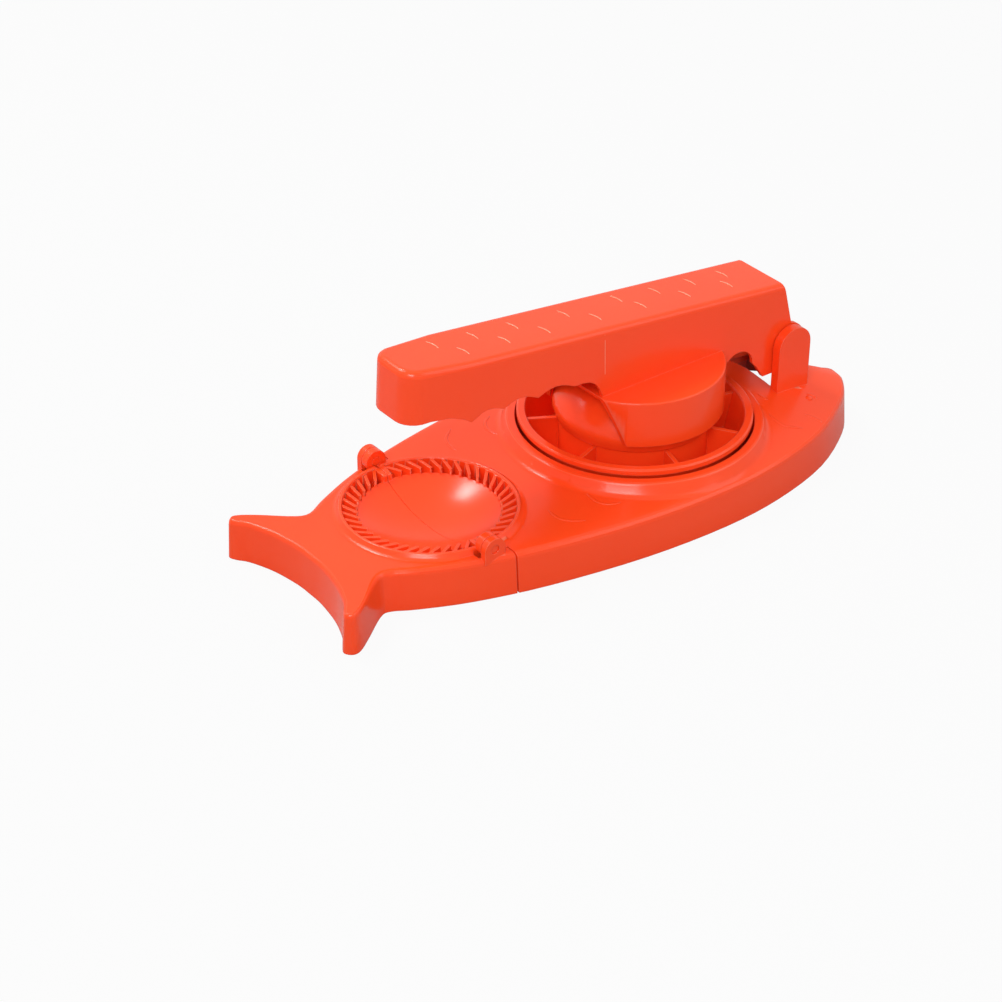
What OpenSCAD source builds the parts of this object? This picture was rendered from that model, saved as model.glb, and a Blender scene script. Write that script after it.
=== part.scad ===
// Two-in-one empanada press: a fish-shaped base with a lever-operated dough press
// and a hinged crimping mould. Origin: middle of the length, on the table.
// +X points to the head, +Y across, +Z up.

/* [Base outline] */
// Length from the tail tips to the nose
body_len = 290; // [270:1:310]
// Width at the widest place, measured at the foot
body_w = 127; // [124:1:136]
// Height of the side walls
side_h = 18.6; // [17.6:0.1:19]
// How far the side walls lean in from foot to top
side_draft = 1.2; // [0.8:0.1:1.4]
// Radius of the rounded top edge
edge_r = 2.6; // [1.8:0.1:2.8]
// Rise of the crowned deck above the side walls, at the head
crown = 7; // [5:0.1:8]
// Thickness of the base mouldings
wall = 2.2; // [1.8:0.1:2.5]

/* [Crimping mould] */
// Place of the mould's centre and fold line, as a share of half the length
mould_share = 0.5007; // [0.49:0.001:0.51]
// Radius at the inner edge of the raised lip, as a share of half the width
lip_share = 0.5732; // [0.551:0.001:0.577]
// Height of the lip
lip_z = 21; // [20.6:0.1:21.4]
// Width of the ring of teeth, from the bowl's edge to the lip
tooth_ring = 5.8; // [5.4:0.1:6.6]
// Depth of the bowl below its edge
bowl_deep = 8; // [6:0.1:8.4]
// Number of crimping teeth all round
teeth = 44; // [36:4:48]
// Thickness of one tooth
tooth_t = 1.3; // [1:0.1:1.6]
// Height of the fold axis
fold_z = 22.3; // [22.3:0.1:22.8]
// Diameter of the fold pins
fold_pin_d = 4; // [3.4:0.1:4.4]

/* [Dough press] */
// Place of the press well's centre, as a share of half the length
well_share = 0.2607; // [0.255:0.001:0.269]
// Radius of the well at its mouth
well_r = 52.2; // [52.1:0.1:53]
// Height of the collar round the well
collar_z = 24.8; // [23.6:0.1:24.9]
// Height of the well's floor
well_floor = 5; // [4.6:0.1:5]
// Space left for the pressed dough
dough = 2; // [2:0.1:2.4]
// Gap between the press plate's lip and the well
lip_gap = 0.6; // [0.5:0.1:1.6]
// Height of the press plate's lip
plate_top = 28.4; // [28:0.1:29]
// Width of the open ring between the press plate's hub and the well
hub_ring = 18.6; // [18.2:0.1:20.2]
// How far the domed cap stands out past the hub
dome_over = 2.6; // [1.6:0.1:2.7]

/* [Lever] */
// Place of the lever's pivot, as a share of half the length
pivot_share = 0.7655; // [0.758:0.001:0.773]
// Height of the lever's pivot
pivot_z = 44; // [43.4:0.1:45]
// Diameter of the lever's pin
lever_pin_d = 6; // [5:0.1:7]
// Place of the lever's free end, as a share of half the length
lever_end_share = 0.6414; // [0.607:0.001:0.655]
// Width across the lever's side walls at their foot
lever_w = 33.6; // [32.4:0.1:33.8]
// Thickness of the lever's walls
lever_wall = 2; // [1.6:0.1:2.4]
// Gap between the dome and the lever's cup that covers it
cup_gap = 0.7; // [0.6:0.1:1.2]
// Height of the cup's flat top
cup_top = 53; // [52.8:0.1:54]

/* [Hidden] */

// Shared clearances and overruns
fit_gap = 0.3;
run_gap = 0.05;
over = 1;
round_fn = 96;

// Half outline of the fish at the foot, nose to tail, as shares of half length and half width
outline_shares = [
  [0.941, 0], [0.962, 0.094], [0.994, 0.173], [1, 0.252], [0.979, 0.386], [0.893, 0.58],
  [0.71, 0.816], [0.483, 0.954], [0.255, 1], [-0.034, 0.965], [-0.345, 0.844], [-0.569, 0.699],
  [-0.717, 0.554], [-0.783, 0.472], [-0.821, 0.482], [-0.907, 0.63], [-0.956, 0.707],
  [-0.983, 0.715], [-1, 0.669], [-0.99, 0.613], [-0.966, 0.537], [-0.936, 0.357],
  [-0.919, 0.142], [-0.917, 0]];
// The base takes the outline up to this point; the tail's tabs end beyond the one before
body_last = 11;
tab_before = 10;
steps = 4;
edge_steps = 3;
// Where the insets start to ease towards the tips of the tail, over what run and by how much
tip_from_share = -0.79;
tip_run_share = 0.14;
tip_ease_share = 0.44;
// Ends of the decks' ridges, and where the deck starts to rise and has risen, as shares
ridge_head_share = 0.81;
ridge_tail_share = -0.5;
tail_head_ridge_share = -0.53;
tail_ridge_share = -0.8;
rise_tail_share = -0.44;
rise_head_share = 0.77;
// Rows from the rounded edge to the ridge, as shares of the way
deck_shares = [0, 0.12, 0.27, 0.44, 0.62, 0.81];
inner_shares = [0, 0.5];

// Fold joint: a tab of the tail reaches past the fold line on each side
seam_gap = 0.3;
tab_gap = 0.8;
tab_reach = 8.6;
knuckle_r = 5;
knuckle_gap = 0.8;
knuckle_t = 3.5;
fold_ear_gap = 0.4;
fold_ear_t = 3.1;
slot_gap = 0.8;
pin_sink = 0.5;

// Crimp ring
lip_t = 1.4;
lip_foot = 1.6;
lip_round = 0.5;
pocket_z = 13.8;
tooth_lean = 42;
tooth_bite = 0.4;
tooth_drop = 1.4;
bowl_rim_drop = 4;
bowl_t = 2.2;
bowl_steps = 8;
// Shares of a rounding at which its middle corner lies, and of the notch's height at its shoulder
soft_share = 0.3;
shoulder_share = 0.7;

// Well and its collar
well_taper = 2.2;
collar_t = 4.4;
collar_spread = 3.2;
collar_round = 1.2;
floor_t = 2.4;

// Ears of the lever and the slot between them
ear_half = 9.1;
ear_t = 4.4;
ear_gap = 0.5;
bore_deep = 2.8;
slot_half = 7.8;
slot_edge = 1.8;

// Press plate
plate_taper = 3.4;
plate_wall = 2.2;
plate_floor_t = 2.4;
plate_round = 1.2;
lip_band = 4;
lip_h = 2;
lip_soft = 0.6;
hub_drop = 1.4;
spigot_t = 2;
spigot_h = 3;
rib_t = 1.8;
rib_drop = 0.8;
rib_bite = 0.5;
rib_turns = [-15, -58, -106, -160, 150, 98, 42];

// Domed cap and its swivel
swivel_up = 11;
swivel_pin_d = 5;
dome_foot_in = 1.4;
dome_wide_up = 4.4;
dome_rise = 18.6;
dome_t = 2.2;
dome_step = 9;
cheek_t = 4;
cheek_half = 7.6;
cheek_gap = 0.4;
slot_room = 1.6;

// Lever
lever_rise = 84.9;
lever_slope = 0.108;
lever_draft = 0.9;
lever_edge_r = 3;
lever_corner = 9.5;
lever_corner_step = 15;
lever_nip = 2.2;
lever_nip_len = 31;
lever_end_h = 24.4;
head_back = 3.2;
head_fwd = 1.1;
head_up = 10.9;
knuckle_half = 9.5;
barrel_r = 5.4;
barrel_len = 8;
notch_past = 5.496;
notch_r = 8.6;
notch_z = 40;
tongue_gap = 2.2;
tongue_h = 12.6;
tongue_lean = 4.2;
lever_rib_t = 1.6;
lug_half = 6.4;
lug_t = 8.4;
// Lower edge of the lever near its free end, then the scallops' corners, then the run into the
// cup: shares of the free end's distance and of the lever's height
edge_end_shares = [[-1.02, 0.832], [-0.882, 0.835], [-0.785, 0.822], [-0.718, 0.794]];
scallop_shares = [[-0.677, 0.7645], [-0.501, 0.7715], [-0.312, 0.7597], [-0.104, 0.7456]];
edge_cup_shares = [[-0.059, 0.744], [-0.017, 0.735], [0.0215, 0.708], [0.0495, 0.658]];
scallop_rise = 2.7;
scallop_steps = 6;

// Cup of the lever
cup_t = 1.8;
cup_h = 21.2;
cup_round = 0.8;
cup_cut_in = 5;
cup_cut_lean = 17;

// Underside
under_rib_t = 2;
waist_gap = 13.6;
head_rib_back = 14;

// Sizes that follow from the ones above
half_len = body_len / 2;
half_w = body_w / 2;
mould_x = -mould_share * half_len;
well_x = well_share * half_len;
pivot_x = pivot_share * half_len;
lever_back = lever_end_share * half_len;
waist_x = well_x - well_r - waist_gap;
head_rib_x = pivot_x - head_rib_back;
lip_r = lip_share * half_w;
lip_out = lip_r + lip_t;
bowl_r = lip_r - tooth_ring;
knuckle_in = lip_out + knuckle_gap;
knuckle_out = knuckle_in + knuckle_t;
ear_in = knuckle_out + fold_ear_gap;
ear_out = ear_in + fold_ear_t;
ridge_head = ridge_head_share * half_len;
ridge_tail = ridge_tail_share * half_len;
tail_head_ridge = tail_head_ridge_share * half_len;
tail_ridge = tail_ridge_share * half_len;
rise_tail = rise_tail_share * half_len;
rise_head = rise_head_share * half_len;
tab_x = mould_x + tab_reach;
tab_in = (knuckle_out + ear_in) / 2;
bowl_edge_z = lip_z - bowl_rim_drop;
bowl_ball_r = (bowl_r * bowl_r + bowl_deep * bowl_deep) / (2 * bowl_deep);
bowl_ball_z = bowl_edge_z - bowl_deep + bowl_ball_r;
well_foot_r = well_r - well_taper;
plate_lip_r = well_r - lip_gap;
hub_r = well_r - hub_ring;
dome_r = hub_r + dome_over;
plate_z = well_floor + dough;
plate_wall_r = plate_lip_r - well_taper;
plate_foot_r = plate_wall_r - plate_taper;
plate_inner_r = plate_lip_r - lip_band;
hub_top = plate_top - hub_drop;
spigot_r = hub_r - spigot_t - fit_gap;
swivel_z = hub_top + swivel_up;
cheek_in = lug_t / 2 + cheek_gap;
cheek_out = cheek_in + cheek_t;
lever_in = lever_w / 2 + ear_gap;
cup_in = dome_r + cup_gap;
cup_r = cup_in + cup_t;
cup_cut_back = cup_r - cup_cut_in;
notch_x = well_x + cup_r + notch_past;
tongue_back = pivot_x - notch_x - notch_r - tongue_gap - tongue_lean;
far = 2 * body_len;
function lever_top(x) = lever_rise - lever_slope * x;

// Curve helpers
function curve_point(a, b, c, d, t) =
  0.5 * (2 * b + (c - a) * t + (2 * a - 5 * b + 4 * c - d) * t * t
         + (3 * b - a - 3 * c + d) * t * t * t);
function flip(p) = [p[0], -p[1]];
function pick(p, i) = i < 0 ? flip(p[-i]) : i < len(p) ? p[i] : flip(p[2 * len(p) - 2 - i]);
function curve(p, n) = concat(
  [for (i = [0 : len(p) - 2], k = [0 : n - 1])
    curve_point(pick(p, i - 1), p[i], p[i + 1], pick(p, i + 2), k / n)],
  [p[len(p) - 1]]);
function part_of(p, a, b) = [for (i = [a : b]) p[i]];
function ring_of(half) = concat(half,
  [for (i = [len(half) - 1 : -1 : 0]) if (abs(half[i][1]) > 0) flip(half[i])]);
function along(p, i) = i == 0 ? 0 : along(p, i - 1) + norm(p[i] - p[i - 1]);
function smooth(t) = let (s = max(0, min(1, t))) s * s * (3 - 2 * s);
function rise(x) = crown * smooth((x - rise_tail) / (rise_head - rise_tail));
// Inward direction of a ring that runs anticlockwise seen from above; an open end stays square
function inward(ring, i) =
  let (n = len(ring), t = ring[(i + 1) % n] - ring[(i + n - 1) % n])
    ring[0][1] > 0 && (i == 0 || i == n - 1) ? [0, i == 0 ? -1 : 1] : [-t[1], t[0]] / norm(t);
// Share of an inset that is left at the slim tips of the tail
function tip_left(x) = 1 - tip_ease_share * smooth((tip_from_share * half_len - x) / (tip_run_share * half_len));
// One row of a block: the ring moved in, at height up - tilt * x
function row(ring, in, up, tilt = 0) =
  [for (i = [0 : len(ring) - 1])
    let (p = ring[i] + in * tip_left(ring[i][0]) * inward(ring, i)) [p[0], p[1], up - tilt * p[0]]];
function side_faces(n, rows) =
  [for (r = [0 : rows - 2], i = [0 : n - 1], k = [0, 1])
    let (a = r * n + i, b = r * n + (i + 1) % n)
      k == 0 ? [a, a + n, b + n] : [a, b + n, b]];
// Rows of a wall with draft and a rounded top edge: [inset, height, tilt]
function edge_rows(draft, r, top, tilt = 0) =
  [for (k = [0 : edge_steps]) let (a = 90 * k / edge_steps)
    [draft + r * (1 - cos(a)), top - r + r * sin(a), tilt]];

outline = [for (p = outline_shares) [p[0] * half_len, p[1] * half_w]];
fish = curve(outline, steps);
body_half = part_of(fish, 0, body_last * steps);
// The tail's outline starts square at the seam of its tabs
tail_start = tab_x - tab_gap / 2;
function start_at(p, x) = [for (i = [1 : len(p) - 1]) if (p[i][0] <= x)
  each p[i - 1][0] > x
    ? [p[i - 1] + (p[i] - p[i - 1]) * (p[i - 1][0] - x) / (p[i - 1][0] - p[i][0]), p[i]] : [p[i]]];
tail_half = start_at(part_of(fish, tab_before * steps, len(fish) - 1), tail_start);

// A block with a flat or sloped top
module drafted_block(ring, rows) {
  n = len(ring);
  faces = concat(
    [[for (i = [0 : n - 1]) i]],
    side_faces(n, len(rows)),
    [[for (i = [n - 1 : -1 : 0]) (len(rows) - 1) * n + i]]);
  polyhedron([for (r = rows) each row(ring, r[0], r[1], r[2])], faces, convexity = 6);
}

// A block from half an outline, with its top and floor drawn to a ridge on the centre line
module fish_block(half, rows, top, ridge_from, ridge_to, shares) {
  ring = ring_of(half);
  n = len(ring);
  m = len(half);
  last = row(ring, rows[len(rows) - 1][0], 0);
  whole = along(half, m - 1);
  ridge = [for (i = [0 : m - 1]) [ridge_from + (ridge_to - ridge_from) * along(half, i) / whole, 0]];
  mate = [for (i = [0 : n]) let (k = i % n) k < m ? k : half[0][1] > 0 ? n - 1 - k : n - k];
  low = [for (k = [0 : len(rows) - 2]) each row(ring, rows[k][0], rows[k][1])];
  deck = [for (s = shares, i = [0 : n - 1])
    let (q = [last[i][0], last[i][1]], p = q + (ridge[mate[i]] - q) * s)
      [p[0], p[1], top + rise(p[0]) * (2 * s - s * s)]];
  peak = [for (p = ridge) [p[0], 0, top + rise(p[0])]];
  keel = [for (p = ridge) [p[0], 0, rows[0][1]]];
  count = len(rows) - 1 + len(shares);
  base = (count - 1) * n;
  up = count * n;
  down = up + m;
  caps = [for (i = [0 : n - 1])
    let (c = (i + 1) % n, a = mate[i], b = mate[i + 1], at = abs(ring[c][1]) > 0)
      each a == b
        ? [[base + i, up + a, base + c], [down + a, i, c]]
        : concat(
            at ? [[base + i, up + a, base + c], [up + a, up + b, base + c]]
               : [[base + i, up + a, up + b], [base + i, up + b, base + c]],
            at ? [[down + a, i, c], [down + a, c, down + b]]
               : [[down + a, i, down + b], [down + b, i, c]])];
  polyhedron(concat(low, deck, peak, keel), concat(side_faces(n, count), caps), convexity = 6);
}
module body_block(rows, top, shares) fish_block(body_half, rows, top, ridge_head, ridge_tail, shares);
module tail_block(rows, top) fish_block(tail_half, rows, top, tail_head_ridge, tail_ridge, [0]);

outer_rows = concat([[0, 0, 0]], edge_rows(side_draft, edge_r, side_h));
inner_rows = [[wall, -over, 0],
              [wall + side_draft, side_h - wall - edge_r / 2, 0],
              [wall + side_draft + edge_r / 2, side_h - wall, 0]];

// Plan of the tail's side of the seam; shift moves the seam towards the head
module tail_side(shift) {
  translate([-far, -far / 2]) square([far + mould_x + shift, far]);
  for (s = [0, 1]) mirror([0, s])
    translate([-far, tab_in - shift]) square([far + tab_x + shift + (tab_gap - seam_gap) / 2, far]);
}
module cut_block() translate([0, 0, -2 * over]) linear_extrude(far) children();
module across(x, z, r, long) translate([x, 0, z]) rotate([90, 0, 0])
  cylinder(r = r, h = long, center = true, $fn = round_fn);
// A plate standing along X on the far side, from y to y + t, mirrored by side
module on_side(side, y) mirror([0, side > 0 ? 0 : 1, 0]) translate([0, y, 0]) children();

// Section of the bowl from its middle to its edge, lowered by t
function bowl_curve(t) = [for (k = [0 : bowl_steps])
  let (r = (bowl_r - wall / 2) * k / bowl_steps)
    [r, bowl_ball_z - t - sqrt(bowl_ball_r * bowl_ball_r - r * r)]];
function backward(p) = [for (i = [len(p) - 1 : -1 : 0]) p[i]];
module mould_section() {
  polygon(concat(
    bowl_curve(bowl_t),
    [[bowl_r - wall / 2, pocket_z - wall / 2], [lip_out, pocket_z - wall / 2],
     [lip_out + lip_foot, side_h - wall], [lip_out + lip_foot, side_h],
     [lip_out + lip_round, lip_z - lip_round], [lip_out, lip_z], [lip_r + lip_round, lip_z],
     [lip_r, lip_z - lip_round], [lip_r, pocket_z], [bowl_r, pocket_z], [bowl_r, bowl_edge_z]],
    backward(bowl_curve(0))));
}
module tooth() {
  reach = (lip_r - bowl_r) / cos(tooth_lean) + tooth_bite;
  foot = pocket_z - tooth_bite;
  translate([bowl_r, 0, 0]) rotate([90, 0, tooth_lean]) translate([0, 0, -tooth_t / 2])
    linear_extrude(tooth_t)
      polygon([[-tooth_bite, foot], [reach, foot], [reach, lip_z - lip_round - tooth_bite],
               [-tooth_bite, lip_z - tooth_drop]]);
}
// One half of the mould about its own centre, on the +X side of the seam
module mould_half(side) {
  translate([mould_x, 0, 0]) mirror([side > 0 ? 0 : 1, 0, 0]) intersection() {
    union() {
      rotate_extrude($fn = round_fn) mould_section();
      for (k = [0 : teeth / 2 - 1]) rotate(360 * (k + 0.5) / teeth - 90) tooth();
      intersection() {
        translate([0, -lip_r, 0]) cube([seam_gap / 2 + wall, 2 * lip_r, lip_z]);
        rotate_extrude($fn = round_fn)
          polygon(concat([[0, 0], [lip_r + lip_t / 2, 0], [lip_r + lip_t / 2, lip_z - lip_round],
                          [bowl_r, lip_z - tooth_drop + tooth_bite / 2]], backward(bowl_curve(bowl_t / 2))));
      }
    }
    translate([seam_gap / 2, -half_w, 0]) cube([half_w, body_w, lip_z + over]);
  }
}
module mould_room() {
  translate([mould_x, 0, -over]) cylinder(r = lip_out, h = lip_z + 2 * over, $fn = round_fn);
}

module well_cup() {
  translate([well_x, 0, 0]) rotate_extrude($fn = round_fn)
    polygon([
      [0, well_floor - floor_t], [well_foot_r, well_floor - floor_t], [well_foot_r, 0],
      [well_foot_r + wall, 0], [well_r + wall, side_h - wall],
      [well_r + collar_t + collar_spread, side_h - wall], [well_r + collar_t + collar_spread, side_h],
      [well_r + collar_t, collar_z - collar_round],
      [well_r + collar_t - collar_round * soft_share, collar_z - collar_round * soft_share],
      [well_r + collar_t - collar_round, collar_z], [well_r + collar_round / 2, collar_z],
      [well_r, collar_z - collar_round / 2], [well_foot_r, well_floor], [0, well_floor]]);
}

module fold_bore() across(mould_x, fold_z, fold_pin_d / 2 + run_gap, far);
module body_knuckle(side) on_side(side, knuckle_in) {
  t = knuckle_out - knuckle_in;
  translate([mould_x, t, fold_z]) rotate([90, 0, 0]) cylinder(r = knuckle_r, h = t, $fn = round_fn);
  translate([mould_x + seam_gap / 2, 0, side_h - wall])
    cube([knuckle_r - seam_gap / 2, t, fold_z - side_h + wall]);
}
module tail_ear(side) on_side(side, ear_in) {
  t = ear_out - ear_in;
  translate([mould_x, t, fold_z]) rotate([90, 0, 0]) cylinder(r = knuckle_r, h = t, $fn = round_fn);
  translate([mould_x - knuckle_r, 0, side_h - wall]) cube([2 * knuckle_r, t, fold_z - side_h + wall]);
}
module tail_slot(side) on_side(side, knuckle_in - fit_gap)
  translate([mould_x - knuckle_r - slot_gap, 0, side_h - wall - over])
    cube([knuckle_r + slot_gap, tab_in - knuckle_in + fit_gap, fold_z]);

module lever_ear(side) on_side(side, lever_in) {
  translate([pivot_x, ear_t, pivot_z]) rotate([90, 0, 0]) cylinder(r = ear_half, h = ear_t, $fn = round_fn);
  translate([pivot_x - ear_half, 0, side_h - wall]) cube([2 * ear_half, ear_t, pivot_z - side_h + wall]);
}
module body_ribs() {
  intersection() {
    body_block(outer_rows, side_h - wall / 2, inner_shares);
    union() {
      for (x = [waist_x, head_rib_x])
        translate([x, -half_w, 0]) cube([under_rib_t, body_w, far]);
      for (s = [-1, 1]) on_side(s, lever_in + (ear_t - under_rib_t) / 2)
        translate([head_rib_x, 0, 0]) cube([pivot_x + ear_half - head_rib_x, under_rib_t, far]);
    }
  }
}

module body_shell() color("orangered") {
  difference() {
    union() {
      difference() {
        body_block(outer_rows, side_h, deck_shares);
        difference() {
          body_block(inner_rows, side_h - wall, inner_shares);
          cut_block() tail_side(seam_gap / 2 + wall);
        }
        mould_room();
        cut_block() tail_side(seam_gap / 2);
      }
      mould_half(1);
      body_ribs();
      well_cup();
      for (s = [-1, 1]) {
        lever_ear(s);
        body_knuckle(s);
      }
    }
    translate([well_x, 0, well_floor])
      cylinder(r1 = well_foot_r, r2 = well_r, h = collar_z - collar_round / 2 - well_floor, $fn = round_fn);
    translate([well_x, 0, collar_z - collar_round / 2]) cylinder(r = well_r, h = far, $fn = round_fn);
    translate([well_x, 0, collar_z]) cylinder(r = well_r + collar_round, h = far, $fn = round_fn);
    translate([pivot_x - slot_half, slot_edge - lever_in, side_h - 2 * wall])
      cube([2 * slot_half, 2 * (lever_in - slot_edge), crown + 3 * wall]);
    across(pivot_x, pivot_z, lever_pin_d / 2 + run_gap, 2 * (lever_in + bore_deep));
    fold_bore();
  }
}

module tail_shell() color("orangered") {
  difference() {
    union() {
      difference() {
        tail_block(outer_rows, side_h);
        difference() {
          tail_block([[wall, -over, 0], [wall + side_draft, side_h - wall, 0]], side_h - wall);
          translate([mould_x - seam_gap / 2 - wall, -far / 2, -2 * over]) cube(far);
        }
        mould_room();
        translate([mould_x - seam_gap / 2, -tab_in - seam_gap / 2, -2 * over])
          cube([far, 2 * tab_in + seam_gap, far]);
      }
      mould_half(-1);
      for (s = [-1, 1]) tail_ear(s);
    }
    for (s = [-1, 1]) tail_slot(s);
    fold_bore();
  }
}

module fold_pin(side) color("orangered") on_side(side, 0) {
  translate([mould_x, ear_out - pin_sink, fold_z]) rotate([90, 0, 0])
    cylinder(d = fold_pin_d, h = ear_out - pin_sink - knuckle_in, $fn = round_fn);
}
module fold_pin_near() fold_pin(-1);
module fold_pin_far() fold_pin(1);

// Plan of the lever, its free end drawn in and rounded
lever_corner_x = lever_corner - lever_back;
lever_corner_y = lever_w / 2 - lever_nip - lever_corner;
lever_half = concat(
  [[pivot_x + knuckle_half + over, lever_w / 2], [lever_nip_len - lever_back, lever_w / 2]],
  [for (a = [0 : lever_corner_step : 90])
    [lever_corner_x - lever_corner * sin(a), lever_corner_y + lever_corner * cos(a)]]);
// The far side then the near side makes the ring anticlockwise seen from above
lever_ring = ring_of(lever_half);

function scallop(a, b) = [for (k = [0 : scallop_steps - 1])
  let (t = k / scallop_steps) a + (b - a) * t + [0, scallop_rise * sin(180 * t)]];
function on_lever(shares) = [for (p = shares) [p[0] * lever_back, p[1] * lever_rise]];
scallop_points = on_lever(scallop_shares);
lever_edge = concat(
  on_lever(edge_end_shares),
  [for (i = [0 : len(scallop_points) - 2]) each scallop(scallop_points[i], scallop_points[i + 1])],
  [scallop_points[len(scallop_points) - 1]],
  on_lever(edge_cup_shares),
  [[well_x - cup_cut_back + cup_t, cup_top - cup_t / 2], [well_x - cup_cut_back + 2 * cup_t, cup_top - cup_t],
   [well_x + cup_in - 2 * cup_t, cup_top - cup_t], [well_x + cup_in - 2 * cup_t, notch_z + notch_r * shoulder_share],
   [notch_x, notch_z + notch_r * shoulder_share], [notch_x + notch_r, notch_z],
   [pivot_x - tongue_back - tongue_lean, notch_z - tongue_lean / 2],
   [pivot_x - tongue_back, pivot_z - tongue_h], [pivot_x - tongue_back / 2, pivot_z - tongue_h],
   [pivot_x, pivot_z - knuckle_half], [pivot_x + knuckle_half / 2, pivot_z],
   [pivot_x + head_fwd, pivot_z + head_up], [pivot_x - head_back, lever_top(pivot_x - head_back)],
   [pivot_x - head_back, lever_top(pivot_x) + 2 * lever_edge_r],
   [-lever_back - over, lever_top(-lever_back) + 2 * lever_edge_r]]);

module side_profile() rotate([90, 0, 0]) translate([0, 0, -lever_w]) linear_extrude(2 * lever_w) children();
module lever_outer() drafted_block(lever_ring,
  concat([[0, 0, 0], [0, lever_rise - lever_end_h, lever_slope]],
         edge_rows(lever_draft, lever_edge_r, lever_rise, lever_slope)));
module lever_hollow() intersection() {
  drafted_block(lever_ring,
    [[lever_wall, -over, 0], [lever_wall, lever_rise - lever_end_h, lever_slope],
     [lever_wall + lever_draft, lever_rise - lever_wall - lever_edge_r / 2, lever_slope],
     [lever_wall + lever_draft + lever_edge_r / 2, lever_rise - lever_wall, lever_slope]]);
  side_profile() polygon([
    [-far, -over], [-far, far], [pivot_x - head_back - lever_wall, far],
    [pivot_x - head_back - lever_wall, lever_top(pivot_x - head_back)],
    [pivot_x + head_fwd - lever_wall, pivot_z + head_up], [far, pivot_z + head_up], [far, -over]]);
}
module cup() {
  difference() {
    translate([well_x, 0, 0]) rotate_extrude($fn = round_fn) polygon([
      [cup_in, cup_top - cup_h], [cup_r, cup_top - cup_h], [cup_r, cup_top - cup_round],
      [cup_r - cup_round * soft_share, cup_top - cup_round * soft_share], [cup_r - cup_round, cup_top],
      [0, cup_top], [0, cup_top - cup_t], [cup_in, cup_top - cup_t]]);
    translate([well_x - cup_cut_back, 0, cup_top]) rotate([0, -cup_cut_lean, 0])
      translate([-cup_r, -cup_r, -2 * cup_h]) cube([cup_r, 2 * cup_r, 3 * cup_h]);
  }
}
module lever_handle() color("orangered") {
  difference() {
    union() {
      intersection() {
        union() {
          difference() {
            lever_outer();
            lever_hollow();
          }
          for (s = [-1, 1]) on_side(s, lever_w / 2 - barrel_len)
            translate([pivot_x, barrel_len, pivot_z]) rotate([90, 0, 0])
              cylinder(r = barrel_r, h = barrel_len, $fn = round_fn);
        }
        union() {
          side_profile() polygon(lever_edge);
          across(pivot_x, pivot_z, knuckle_half, lever_w);
        }
      }
      cup();
      intersection() {
        lever_outer();
        union() {
          for (x = [well_x - lug_half, well_x + lug_half - lever_rib_t])
            translate([x, -lever_w / 2, cup_top - cup_t]) cube([lever_rib_t, lever_w, far]);
          translate([well_x - lug_half, -lug_t / 2, swivel_z])
            cube([2 * lug_half, lug_t, lever_rise - swivel_z]);
          across(well_x, swivel_z, lug_half, lug_t);
        }
      }
    }
    across(notch_x, notch_z, notch_r, far);
    across(pivot_x, pivot_z, lever_pin_d / 2 + run_gap, far);
    across(well_x, swivel_z, swivel_pin_d / 2 + run_gap, 2 * lug_t);
  }
}
module lever_pin() color("silver")
  across(pivot_x, pivot_z, lever_pin_d / 2, 2 * (lever_in + bore_deep - run_gap));

module press_plate() color("orangered") translate([well_x, 0, 0]) {
  floor_top = plate_z + plate_floor_t;
  rotate_extrude($fn = round_fn) polygon([
    [0, plate_z], [plate_foot_r - plate_round, plate_z],
    [plate_foot_r - plate_round * soft_share, plate_z + plate_round * soft_share], [plate_foot_r, plate_z + plate_round],
    [plate_wall_r, plate_top - lip_h], [plate_lip_r - lip_soft, plate_top - lip_h],
    [plate_lip_r, plate_top - lip_h + lip_soft], [plate_lip_r, plate_top - lip_soft],
    [plate_lip_r - lip_soft, plate_top], [plate_inner_r + lip_soft, plate_top],
    [plate_inner_r, plate_top - lip_soft], [plate_foot_r - plate_wall, floor_top],
    [hub_r, floor_top], [hub_r, hub_top], [spigot_r, hub_top], [spigot_r, hub_top + spigot_h],
    [spigot_r - spigot_t, hub_top + spigot_h], [spigot_r - spigot_t, floor_top], [0, floor_top]]);
  for (a = rib_turns) rotate([90, 0, a]) translate([0, 0, -rib_t / 2]) linear_extrude(rib_t)
    polygon([
      [hub_r - rib_bite, floor_top - rib_bite], [plate_foot_r - plate_wall + rib_bite, floor_top - rib_bite],
      [plate_inner_r, hub_top - rib_drop], [hub_r - rib_bite, hub_top - rib_drop]]);
}

// Half section of the dome, moved in by t, from its foot to its crown
function dome_curve(t) = concat(
  [[dome_r - dome_foot_in - t, hub_top]],
  [for (a = [0 : dome_step : 90])
    [(dome_r - t) * cos(a), hub_top + dome_wide_up + (dome_rise - t) * sin(a)]]);
module dome_solid() rotate_extrude($fn = round_fn) polygon(concat(dome_curve(0), [[0, hub_top]]));
module press_dome() color("orangered") translate([well_x, 0, 0]) difference() {
  union() {
    difference() {
      dome_solid();
      rotate_extrude($fn = round_fn)
        polygon(concat([[0, hub_top - over], [dome_r - dome_foot_in - dome_t, hub_top - over]], dome_curve(dome_t)));
    }
    intersection() {
      dome_solid();
      for (s = [-1, 1]) on_side(s, cheek_in) {
        translate([0, cheek_t, swivel_z]) rotate([90, 0, 0])
          cylinder(r = cheek_half, h = cheek_t, $fn = round_fn);
        translate([-cheek_half, 0, swivel_z]) cube([2 * cheek_half, cheek_t, dome_rise]);
      }
    }
  }
  translate([-lug_half - slot_room, -cheek_in, swivel_z])
    cube([2 * (lug_half + slot_room), 2 * cheek_in, dome_rise + over]);
  across(0, swivel_z, swivel_pin_d / 2 + run_gap, far);
}
module swivel_pin() color("silver") across(well_x, swivel_z, swivel_pin_d / 2, 2 * cheek_out);

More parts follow.
